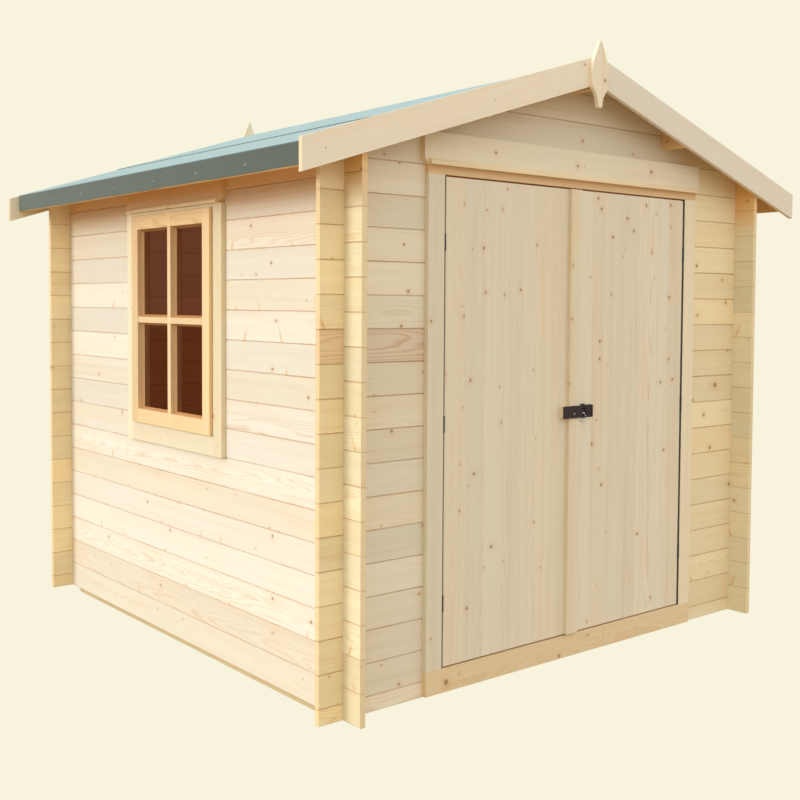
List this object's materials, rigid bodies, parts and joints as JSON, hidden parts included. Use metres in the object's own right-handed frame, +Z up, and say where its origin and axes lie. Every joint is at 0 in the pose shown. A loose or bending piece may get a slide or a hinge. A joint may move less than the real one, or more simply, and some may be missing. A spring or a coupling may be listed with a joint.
{
  "type": "log cabin",
  "caption": "Small garden log cabin with interlocking corners, double doors that open, a side window and a felted gable roof.",
  "frame": {"origin": "on the ground, at the centre of the cabin", "axes": "+X to the right along the front wall as seen from outside, +Y from the doors to the back wall, +Z up"},
  "size_m": [2.7, 2.594, 2.4318],
  "materials": {
    "wall_logs": "planed spruce logs, bare",
    "floor_timber": "planed boards, bare",
    "treated_timber": "sawn, pressure treated",
    "roof_timber": "planed boards, bare",
    "gable_trim": "planed boards, bare",
    "door_trim": "planed boards, bare",
    "door_leaves": "planed boards, bare",
    "window_timber": "planed and sanded",
    "roof_felt": "grey-green mineral felt",
    "window_glass": "clear pane",
    "black_metal": "black enamel",
    "hinge_steel": "zinc plated",
    "ring_steel": "bright steel"
  },
  "bodies": {
    "cabin": {"back_bargeboards": "gable_trim", "back_wall_logs_even": "wall_logs", "back_wall_logs_odd": "wall_logs", "door_head": "door_trim", "door_jambs": "door_trim", "door_sill": "door_trim", "eave_fascias": "roof_timber", "eave_felt": "roof_felt", "finials": "gable_trim", "floor_deck": "floor_timber", "floor_joists": "floor_timber", "foundation_bearers": "treated_timber", "front_bargeboards": "gable_trim", "front_base_log": "wall_logs", "front_gable_logs_even": "wall_logs", "front_gable_logs_odd": "wall_logs", "front_wall_logs_even": "wall_logs", "front_wall_logs_odd": "wall_logs", "header_boards": "door_trim", "hinges_on_frame": "hinge_steel", "left_wall_logs_even": "wall_logs", "left_wall_logs_odd": "wall_logs", "log_over_window": "wall_logs", "log_under_window": "wall_logs", "ridge_felt": "roof_felt", "ridge_purlin": "roof_timber", "right_wall_logs_even": "wall_logs", "right_wall_logs_odd": "wall_logs", "roof_boards_left": "roof_timber", "roof_boards_right": "roof_timber", "side_purlins": "roof_timber", "threshold_boards": "door_trim", "window_frame": "window_timber", "window_glass": "window_glass", "window_sash": "window_timber"},
    "left_door": {"left_door_boards": "door_leaves", "left_door_ledges": "door_leaves", "left_door_hinges": "hinge_steel", "meeting_strip": "door_trim", "hasp_block": "door_trim", "hasp_plate": "black_metal"},
    "right_door": {"right_door_boards": "door_leaves", "right_door_ledges": "door_leaves", "right_door_hinges": "hinge_steel", "staple": "black_metal", "staple_ring": "ring_steel"},
    "hasp": {"hasp_strap": "black_metal"}
  },
  "joints": [
    {"name": "left_door_hinge", "type": "hinge", "parent": "cabin", "child": "left_door", "pos_m": [-0.679, -1.167, 0.991], "axis": [0, 0, -1], "range_deg": [0, 110]},
    {"name": "right_door_hinge", "type": "hinge", "parent": "cabin", "child": "right_door", "pos_m": [0.679, -1.167, 0.991], "axis": [0, 0, 1], "range_deg": [0, 110]},
    {"name": "hasp_hinge", "type": "hinge", "parent": "left_door", "child": "hasp", "pos_m": [-0.0745, -1.1835, 0.997], "axis": [0, 0, -1], "range_deg": [0, 170]}
  ],
  "couplings": [
    {"joint": "right_door_hinge", "follows": "left_door_hinge", "ratio": 1}
  ]
}
